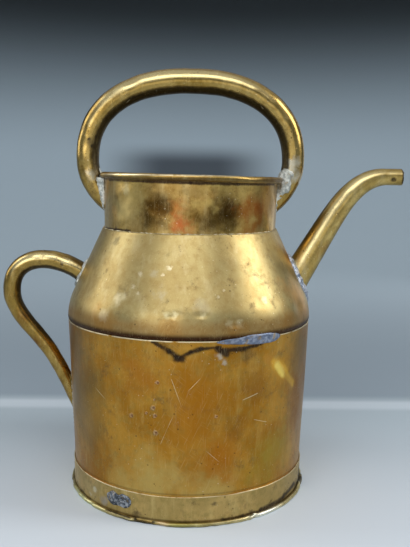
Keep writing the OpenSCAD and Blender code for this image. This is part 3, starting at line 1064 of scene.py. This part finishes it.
def patch_pieces(grey, dark):
    seam = slab("seam_repair", 27, body_h / MM - 0.8, 15.5, 3.6, lambda z: shoulder_r, 0.8, 3, skew=0.35)
    keep(seam, "seam_repair_solder", grey)

    def band_r(z):
        return body_r(z) + 1.0 * MM

    foot = slab("foot_repair", -32.5, foot_h / MM / 2 + 2, 6.8, 6.2, band_r, 0.8, 5, lobes=0.3)
    keep(foot, "foot_repair_solder", dark)


# ---------------------------------------------------------------- marks, stains and masks

# Places are in mm: direction in degrees and height on the can's outside, or x, y, z.
# Stains: tone, strength, hardness of the edge, place of the centre, radius in mm
BODY_STAINS = [
    ("7c6230", 0.7, 0.1, -60, 84, 50), ("7c643a", 0.6, 0.1, -66, 124, 30),
    ("c4a860", 0.75, 0.1, -18, 30, 36), ("c4a860", 0.7, 0.1, 8, 24, 30), ("c89a48", 0.5, 0.2, -1, 136, 5),
    ("b0701c", 0.7, 0.1, 1, 92, 46), ("b06a1a", 0.7, 0.1, 14, 54, 30), ("a98f34", 0.7, 0.1, 42, 46, 32),
    # The "c89030" stain at 46, 112 is a painted highlight on the knocked-in facet.
    ("8a6a34", 0.6, 0.1, 60, 120, 26), ("c89030", 0.8, 0.1, 46, 112, 14),
    ("a8641c", 0.6, 0.1, -22, 112, 24), ("8c5a1c", 0.6, 0.1, 30, 104, 22), ("8a5614", 0.6, 0.1, 64, 84, 32),
    ("7a4a10", 0.45, 0.1, 22, 74, 18), ("c89a3c", 0.6, 0.1, 56, 40, 14), ("a8823c", 0.5, 0.1, -52, 70, 30),
    (DIRT, 0.5, 0.1, 26, 129, 9), (DIRT, 0.4, 0.1, -10, 134, 8), (LIME, 0.6, 0.2, 13, 129, 4),
    (LIME, 0.5, 0.2, 15, 124, 3), (DIRT, 0.5, 0.1, 108, 60, 22), (DIRT, 0.5, 0.1, -156, 100, 26),
    ("8a6a34", 0.6, 0.1, 156, 50, 40), (LIME, 0.5, 0.2, -134, 60, 5),
]
# Blisters in the tarnish: direction and height, radius in mm
BLISTERS = [
    (-13, 109, 2.0), (-15, 90, 2.3), (-14.4, 96, 1.2), (-18, 85.4, 1.5), (-25, 82, 2.4), (-14, 71, 2.4),
    (-14.2, 84, 2.0), (12, 84, 1.6), (130, 80, 2.2), (200, 96, 2.0), (205, 50, 2.4),
]
# Scratches: start, end, width in mm
BODY_MARKS = [
    ((-7, 112), (1, 74), 0.3), ((24, 94.6), (31.4, 98), 0.5), ((-34.5, 112), (-37, 102), 0.4),
    ((63, 60), (64, 50), 0.5), ((-12, 62), (-5, 90), 0.2), ((8, 58), (15, 47), 0.25),
    ((-2, 100), (5, 113), 0.25), ((-47, 98), (-39, 90), 0.4), ((-44, 118), (-37, 116.5), 0.3),
    ((-30, 66), (-22, 52), 0.25), ((30, 78), (37, 74), 0.3), ((-60, 70), (-52, 52), 0.3),
    ((96, 96), (103, 89), 0.4), ((154, 64), (161, 76), 0.35), ((-147, 106), (-140, 96), 0.35),
    ((-98, 44), (-91, 66), 0.3),
]
# Lines along creases: start, end, width in mm, and a tone where given. The dark V under the seam is painted
# shade in the crease; the pale lines with a tone are a painted highlight on the knocked-in facet.
BODY_CREASES = [
    ((-15, 139), (-8, 132.5), 2.4), ((-8, 132.5), (-4.5, 127.5), 3.6), ((-5, 127), (-2.5, 127), 4.0),
    ((-3, 128), (1, 132), 2.8), ((1, 132), (5, 134.5), 2.8), ((5, 134.5), (13, 135), 2.2),
    ((12, 134), (16, 130), 3.6), ((14, 133), (24, 133), 3.0), ((24, 133), (33, 136), 2.4),
    ((36, 123), (42, 116), 5.4, "b88228"), ((41, 118), (48, 109), 6.8, "dca836"),
    ((47, 110), (56, 97), 4.4, "c89a34"), ((42.5, 116), (46.5, 109), 5.0, "f8d868"),
]
# The "2e1806" lines are painted shadow under the rim bead; the last line is a dark line along the collar's
# foot.
NECK_CREASES = [
    ((-66, 251.6), (-30, 251.2), 1.3, "2e1806"), ((-30, 251.2), (0, 250.8), 1.7, "2e1806"),
    ((0, 250.8), (30, 250.3), 2.0, "2e1806"), ((30, 250.3), (68, 249.9), 1.8, "2e1806"),
    ((-72, 213.6), (-40, 214.2), 1.6),
]
# The near-black "0e0804" line is painted shadow in the gap where the fold is broken out.
FOOT_CREASES = [
    ((16, 3.4), (36, 4), 2.4), ((36, 4.4), (52, 5.6), 3.2), ((52, 6), (64, 9), 3.4),
    ((-70, 6), (-52, 3), 2.0), ((-37.8, -91.2, 0.8), (-26.4, -95.2, 0.8), 3.6, "0e0804"),
    ((70, 5), (84, 8), 4.0, "1c140a"),
]
FOLD_STAINS = [
    ("dfe2a8", 0.8, 0.1, -56, 2, 32), ("8c8648", 0.85, 0.1, -2, 2, 22), ("f4f5e6", 0.9, 0.1, 36, 2, 26),
    ("d8b898", 0.6, 0.1, -10, 2, 8), (SOOT, 0.95, 0.3, 80, 5, 14), (DIRT, 0.6, 0.3, 50, 3, 4),
    (DIRT, 0.6, 0.3, 61, 3, 4), (DIRT, 0.8, 0.3, -80, 3, 10), (DIRT, 0.5, 0.3, -34, 3, 4),
    (DIRT, 0.5, 0.2, 150, 2, 20), (DIRT, 0.5, 0.2, -130, 2, 20),
]
# The near-black "0e0804" line is painted shadow in the gap where the fold is broken out.
FOLD_CREASES = [
    ((-37.5, -90.5, 1.6), (-26.2, -94.4, 1.6), 4.2, "0e0804"), ((-62, -76, 3), (-42, -89, 3), 1.2),
    ((-52, -84, 0.8), (-40, -90, 0.8), 0.8), ((-24, -98, 0.6), (-14, -99.6, 0.6), 0.7),
]
FOOT_STAINS = [
    (LIME, 0.8, 0.3, -48, 13.5, 3.5), (LIME, 0.6, 0.3, -52, 8, 3), (SOOT, 0.6, 0.3, 42, 7, 3),
    (SOOT, 0.6, 0.3, 53, 8, 3), (SOOT, 0.9, 0.2, 76, 12, 9), (SOOT, 0.9, 0.2, 84, 14, 9),
    (SOOT, 0.8, 0.2, 66, 6, 6), (SOOT, 0.6, 0.3, 30, 5, 3), (SOOT, 0.6, 0.3, -84, 10, 5),
    (DIRT, 0.7, 0.3, 12, 17, 3), (DIRT, 0.7, 0.2, -24, 5, 6), (BARE_LEAD, 0.6, 0.2, -42, 8, 6),
    (DIRT, 0.6, 0.2, 156, 8, 12), (DIRT, 0.6, 0.2, -122, 6, 10), ("b9a878", 0.5, 0.1, -50, 12, 16),
]
# Among these, the pale "ece0b0" spots near the turn are painted highlights on its shallow dents, and "d8a860"
# at 62, 166 is a painted warm reflection towards the right.
SHOULDER_STAINS = [
    (LIME, 0.25, 0.1, -13, 172, 7), (LIME, 0.25, 0.1, -18, 186, 5), (LIME, 0.2, 0.1, 5, 165, 8),
    (DIRT, 0.4, 0.2, -48, 206, 5), ("a8742c", 0.7, 0.1, 76, 192, 24), ("a8742c", 0.6, 0.1, 66, 158, 20),
    ("8f6c34", 0.5, 0.1, -97, 176, 16), ("d8a860", 0.8, 0.1, 62, 166, 26),
    ("c08a3c", 0.5, 0.1, -40, 150, 18), ("b8802c", 0.4, 0.1, 20, 146, 16),
    ("c08a3c", 0.4, 0.1, -8, 147, 14), ("b8802c", 0.5, 0.1, 48, 148, 16), (CREAM, 0.7, 0.3, -10, 190, 2.6),
    (CREAM, 0.6, 0.3, -25, 185, 2.8), (CREAM, 0.6, 0.3, -13, 185, 2.0), (CREAM, 0.6, 0.3, -27, 176, 2.4),
    (CREAM, 0.5, 0.3, -24, 172, 2.0), ("ecdfb4", 0.6, 0.1, -33, 166, 8), ("ecdfb4", 0.5, 0.1, -40, 154, 7),
    (CREAM, 0.5, 0.3, 13, 171, 1.8), (CREAM, 0.5, 0.3, 16, 175, 1.6), ("ece0b0", 0.6, 0.0, -9.5, 158, 4),
    ("ece0b0", 0.6, 0.0, -6, 158, 4), ("ece0b0", 0.5, 0.0, 6, 158, 3.5),
    ("ece0b0", 0.6, 0.0, 17, 151.8, 4.5), ("ece0b0", 0.6, 0.0, 21, 152.2, 4.5),
    ("ece0b0", 0.5, 0.0, 36, 166.5, 4), (DIRT, 0.5, 0.1, 162, 160, 16),
]
# The pale "e4c880" patch at -46, 228 is a painted reflection on the neck's left side.
NECK_STAINS = [
    ("5a3c10", 0.85, 0.05, -20, 230, 21), ("3a2408", 0.85, 0.15, -17, 231, 14),
    ("46300c", 0.75, 0.1, -25, 226, 14), ("5a3c10", 0.8, 0.05, 18, 228, 22),
    ("3a2408", 0.85, 0.1, 22, 232, 12), ("3a2408", 0.8, 0.1, 26, 230, 12),
    ("46300c", 0.8, 0.1, 12, 221, 14), ("46300c", 0.7, 0.1, 25, 221, 12), ("5a4012", 0.7, 0.05, 3, 228, 14),
    ("b85c2c", 0.85, 0.0, -6, 221, 11), ("b0642c", 0.6, 0.0, -8, 232, 10),
    ("a05a1c", 0.9, 0.0, 38, 231, 15), ("a8581a", 0.85, 0.0, 47, 232, 14),
    ("a86420", 0.9, 0.0, 43, 219, 16), ("c8aa60", 0.6, 0.1, 4, 236, 6), ("c8aa60", 0.6, 0.1, 11, 236, 6),
    ("c8aa60", 0.5, 0.1, 15, 232, 5), ("d0b468", 0.6, 0.1, 42, 223, 6), ("e4c880", 0.8, 0.1, -46, 228, 20),
    ("dcc076", 0.5, 0.1, -36, 240, 12), (SOOT, 0.7, 0.3, -55, 214, 4), ("d8cc9c", 0.5, 0.1, -44, 246, 7),
    (DIRT, 0.5, 0.1, -155, 232, 18), ("a5602a", 0.5, 0.1, 134, 228, 14),
]
TUBE_STAINS = [
    (LIME, 0.7, 0.1, 82, -8, 266, 9), (LIME, 0.6, 0.1, 86, -7, 256, 8), (LIME, 0.5, 0.1, -80, -8, 256, 7),
    (SOOT, 0.9, 0.4, -81.6, -9, 284, 1.8), (SOOT, 0.9, 0.4, -79.3, -9, 278.4, 1.9),
    (SOOT, 0.9, 0.4, -77.7, -9, 275, 1.7), (SOOT, 0.7, 0.3, -75.4, -8, 286, 2.4),
    (DIRT, 0.7, 0.1, -79, -8, 280, 8), (LIME, 0.6, 0.4, 21, -6, 324, 1.6),
    (DIRT, 0.8, 0.3, -110, -8, 187, 2.2), (DIRT, 0.8, 0.3, -104.8, -8, 183, 2.4),
    (DIRT, 0.8, 0.3, -98.2, -8, 183.5, 2.4), (DIRT, 0.7, 0.3, -91.7, -8, 181, 2.4),
    (LIME, 0.5, 0.2, -94, -8, 189, 3.5), ("6b3f1e", 0.7, 0.1, -134, -7, 140, 12),
    ("6b3f1e", 0.6, 0.1, -128, -6, 118, 10), (DIRT, 0.7, 0.2, -104, -4, 99, 5),
    ("8a6a3a", 0.6, 0.1, -60, 8, 300, 20), ("6b3f1e", 0.5, 0.1, 70, 8, 310, 16),
]
TUBE_MARKS = [
    ((-53, -6.5, 311), (-41, -8.7, 326), 0.5), ((-41, -8.7, 326), (-20, -9.3, 332), 0.5),
    ((33.8, -9.3, 330), (48.3, -9.3, 323), 0.4), ((48.3, -9.3, 323), (57.6, -7, 310), 0.6),
]
TUBE_CREASES = [
    ((-108, -6, 100), (-124, -6, 130), 1.6), ((-60, -7.5, 312), (-34, -6.5, 322), 1.2),
]
SPOUT_STAINS = [
    ("8a6430", 0.6, 0.1, 112, -8, 196, 12), ("a07438", 0.5, 0.1, 128, -8, 215, 10),
    ("6b5020", 0.7, 0.1, 112, 0, 190, 9), (LIME, 0.5, 0.3, 96, -6, 190, 4),
    ("7a6a34", 0.6, 0.1, 172, -6, 252, 6), ("8f7434", 0.7, 0.1, 148, -7, 246, 10),
]
SPOUT_MARKS = [
    ((118, -10, 205), (126, -10, 222), 0.3), ((140, -8, 232), (148, -8, 246), 0.25),
]
# The first line darkens the pin mark: painted shade in its hollow.
SPOUT_CREASES = [
    ((165.8, -6.6, 254.8), (166.4, -6.6, 254.8), 2.7), ((173.8, -1, 263), (174, -5.5, 261), 1.3),
    ((174, -5.5, 261), (174, -6.8, 256), 1.3), ((174, -6.8, 256), (174, -5.2, 251.4), 1.5),
    ((134, -6, 249), (140, -6, 253), 1.2),
]


def painted_underside_shade(f):
    """Mask of painted shade, with some dirt: the sides of the tubes that face in below the arch and inside
    the rear loop.
    """
    normal = f.node("ShaderNodeNewGeometry").outputs["Normal"]
    masks = []
    for centre, reach in (((0, 0, 262), 130), ((-118, 0, 140), 62)):
        inward = f.vector("SUBTRACT", [c * MM for c in centre], f.place)[0]
        facing = f.vector("DOT_PRODUCT", normal, f.vector("NORMALIZE", inward)[0])["Value"]
        near = f.near(f.vector("LENGTH", inward)["Value"], (reach - 15) * MM, reach * MM)
        ragged = f.calc("ADD", facing, f.times(f.cloud(7, 5.0, 0.6), 0.35))
        masks.append(f.times(f.fade(ragged, 0.40, 0.70), near))
    return f.times(f.most(*masks), 0.9)


def painted_crest_highlight(f, facing_to):
    """Mask of a painted highlight: the side of a tube that faces one way, painted pale where its highlight
    falls.
    """
    normal = f.node("ShaderNodeNewGeometry").outputs["Normal"]
    facing = f.vector("DOT_PRODUCT", normal, Vector(facing_to).normalized())["Value"]
    return f.fade(facing, 0.88, 0.99)


# ---------------------------------------------------------------- stage, light and camera

def stage():
    """Seamless pale floor that turns into a grey-blue wall, with painted light in its colour: falloff of
    light and a painted shadow of the can's mouth.
    """
    outline = [(0.001, 0)] + straight((0.05, 0), (1.4, 0), 20)
    outline += arc((1.4, 1.1), 1.1, -90, 0, 16) + [(2.5, 1.6)]
    bowl = lathe("backdrop", outline, 96)
    only(bowl)
    bpy.ops.object.shade_smooth()
    f = Finish("backdrop")
    back = f.axis(1)
    # Painted falloff of light: the floor is pale in front and darker behind the can, with a pale line where
    # the near floor ends; past it darker still, then lighter further back.
    colour = f.blend(f.fade(back, -0.12, 0.17), tone("ced7df"), tone("a7b4bc"))
    colour = f.blend(f.times(f.within(back, 0.186, 0.022), 0.5), colour, tone("ced7df"))
    colour = f.blend(f.fade(back, 0.195, 0.225), colour, tone("8a97a1"))
    colour = f.blend(f.fade(back, 0.3, 1.4), colour, tone("c4d5df"))
    # Painted falloff of light: the wall darkens towards the top.
    dark = f.times(f.fade(f.height, 0.29, 0.97), f.fade(back, 0.0, 0.42))
    colour = f.blend(dark, colour, tone("2a3134"))
    # Painted shadow of the can's mouth on the wall, seen through the arch.
    hollow = f.times(f.within(f.axis(0), 0.0, 0.38), f.within(f.height, 0.27, 0.12))
    hollow = f.times(hollow, f.fade(back, 1.0, 1.6))
    colour = f.blend(f.times(hollow, 0.85), colour, tone("2f343e"))
    bowl.data.materials.append(f.metal(colour, 0.0, 0.9, []))
    edit(bowl)
    bpy.ops.mesh.flip_normals()
    done()


def sky():
    """Soft light from above, dimmer towards the horizon."""
    world = bpy.data.worlds.new("studio")
    scene.world = world
    world.use_nodes = True
    tree = world.node_tree
    tree.nodes.clear()
    direction = tree.nodes.new("ShaderNodeTexCoord")
    split = tree.nodes.new("ShaderNodeSeparateXYZ")
    tree.links.new(direction.outputs["Generated"], split.inputs[0])
    ramp = tree.nodes.new("ShaderNodeValToRGB")
    tree.links.new(split.outputs[2], ramp.inputs[0])
    ramp.color_ramp.elements[0].color = (0.25, 0.28, 0.32, 1)
    ramp.color_ramp.elements[1].color = (0.95, 0.97, 1.0, 1)
    light = tree.nodes.new("ShaderNodeBackground")
    tree.links.new(ramp.outputs[0], light.inputs[0])
    light.inputs[1].default_value = 0.6
    out = tree.nodes.new("ShaderNodeOutputWorld")
    tree.links.new(light.outputs[0], out.inputs[0])


def softbox(name, direction, elevation, away, size, power):
    """Area lamp that looks at the can from a direction round it: 0 front, 90 spout."""
    a, e = math.radians(direction), math.radians(elevation)
    middle = Vector((0, 0, 0.17))
    spot = middle + Vector((math.sin(a) * math.cos(e), -math.cos(a) * math.cos(e), math.sin(e))) * away
    bpy.ops.object.light_add(type="AREA", location=spot)
    lamp = bpy.context.object
    lamp.name = name
    lamp.rotation_euler = (middle - spot).to_track_quat("-Z", "Y").to_euler()
    lamp.data.shape = "RECTANGLE"
    lamp.data.size, lamp.data.size_y = size
    lamp.data.energy = power


def camera():
    """Eye at the height of the mouth, turned a little aside, down and over."""
    data = bpy.data.cameras.new("camera")
    data.lens = 46.66
    data.sensor_width = 36
    eye = bpy.data.objects.new("camera", data)
    scene.collection.objects.link(eye)
    aside = Matrix.Rotation(-0.022, 4, "Z")
    down = Matrix.Rotation(math.pi / 2 - 0.137, 4, "X")
    roll = Matrix.Rotation(0.0135, 4, "Z")
    eye.matrix_world = Matrix.Translation((0, -0.588, 0.256)) @ (aside @ down @ roll)
    scene.camera = eye


# ---------------------------------------------------------------- the whole can

def build():
    form = can_form()
    # Body: the edge at 139.7 is the top edge painted bright, bare from wear and with a painted highlight.
    body = brass(
        "body_brass", ("be8a34", "a6701f", "9c7d3a", "c49c4e"), 1, BODY_STAINS, BODY_MARKS, BODY_CREASES,
        BLISTERS, bands=[(24.0, 1.2, 0.3)], edges=[(139.7, 0.7)], rough=(0.28, 0.42))
    # Foot: the band at 3.6 is dirt with painted shade in the corner above the fold; the edge at 22.7 is
    # painted bright as a highlight.
    foot = brass(
        "foot_brass", ("c8a868", "b1965a", "96834a", "dbc281"), 2, FOOT_STAINS, creases=FOOT_CREASES,
        bands=[(3.6, 1.4, 0.6)], edges=[(22.7, 0.7)], rough=(0.34, 0.5))
    fold = brass(
        "fold_brass", ("cdbd88", "b3a36c", "8f8050", "e6ddb4"), 7, FOLD_STAINS, creases=FOLD_CREASES,
        rough=(0.3, 0.45))
    # Shoulder: the dark band at 140.6 is painted shade under the rounded turn, with some dirt; the one at 146
    # is a brown tone.
    shoulder = brass(
        "shoulder_brass", ("b6a36e", "ab9560", "a08550", "c4b486"), 3, SHOULDER_STAINS,
        bands=[(146, 11, 0.5, "8a5a1c"), (140.6, 5.5, 1.0, "3a1e06")], rough=(0.34, 0.46), wavy=0.15)
    # Neck: the band at 253.2 is the bead's brown tone with painted shade under it; the edge at 256.2 is a
    # painted highlight along the bead's top.
    neck = brass(
        "neck_brass", ("cdac60", "b39050", "8f6a2c", "d8c084"), 4, NECK_STAINS, creases=NECK_CREASES,
        bands=[(253.2, 2.6, 0.7)], edges=[(256.2, 0.8)], rough=(0.26, 0.38))
    # Tubes: painted shade below the arch and inside the rear loop, with some dirt, and a painted highlight
    # along their upper front.
    tubing = brass(
        "tube_brass", ("b09352", "9a7c3c", "7f632a", "c0a76a"), 5, TUBE_STAINS, TUBE_MARKS, TUBE_CREASES,
        rough=(0.18, 0.32), wavy=0.15, shade=painted_underside_shade, painted_highlight=lambda f: painted_crest_highlight(f, (-0.1, -0.85, 0.5)))
    # Spout: a painted highlight along its upper left side.
    spout = brass(
        "spout_brass", ("c9b06c", "b59854", "98793c", "d8c490"), 8, SPOUT_STAINS, SPOUT_MARKS, SPOUT_CREASES,
        rough=(0.24, 0.34), wavy=0.06, painted_highlight=lambda f: painted_crest_highlight(f, (-0.34, -0.82, 0.46)))
    white = lead("white_solder", "a3a59c", "dcddd4", 1)
    grey = lead("grey_solder", "6d778a", "8b93a2", 2, 0.5, 0.1)
    pale = lead("pale_solder", "8b93a0", "c3c8d0", 3, 0.4, 0.15)
    seam_lead = lead("seam_solder", "b9a878", "e2d8b8", 4, 0.4, 0.1)
    dark = lead("dark_solder", "474d55", "a5aab0", 6, 0.8)
    body_piece(body)
    foot_piece(foot)
    base_piece(fold)
    shoulder_piece(shoulder)
    neck_piece(neck)
    arch_piece(tubing, form)
    grip_piece(tubing, form)
    spout_piece(spout, form)
    solder_pieces(white, pale, seam_lead)
    patch_pieces(grey, dark)
    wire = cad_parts["rim_wire"]
    wire.data.materials.clear()
    wire.data.materials.append(rusty_iron())
    bpy.data.objects.remove(form)


build()
stage()
sky()
softbox("left_box", -97, 28, 1.3, (0.5, 1.0), 4.5)
softbox("right_box", 79, 32, 1.3, (0.45, 0.8), 7.4)
softbox("top_box", -4, 49, 1.3, (1.1, 0.5), 4.4)
softbox("front_box", -8, 6, 1.3, (1.5, 0.4), 1.8)
softbox("spout_box", -32, 19, 1.3, (0.6, 0.45), 2.2)
softbox("rim_box", 138, 8, 1.3, (0.3, 0.9), 0.8)
camera()
scene.view_settings.view_transform = "Standard"
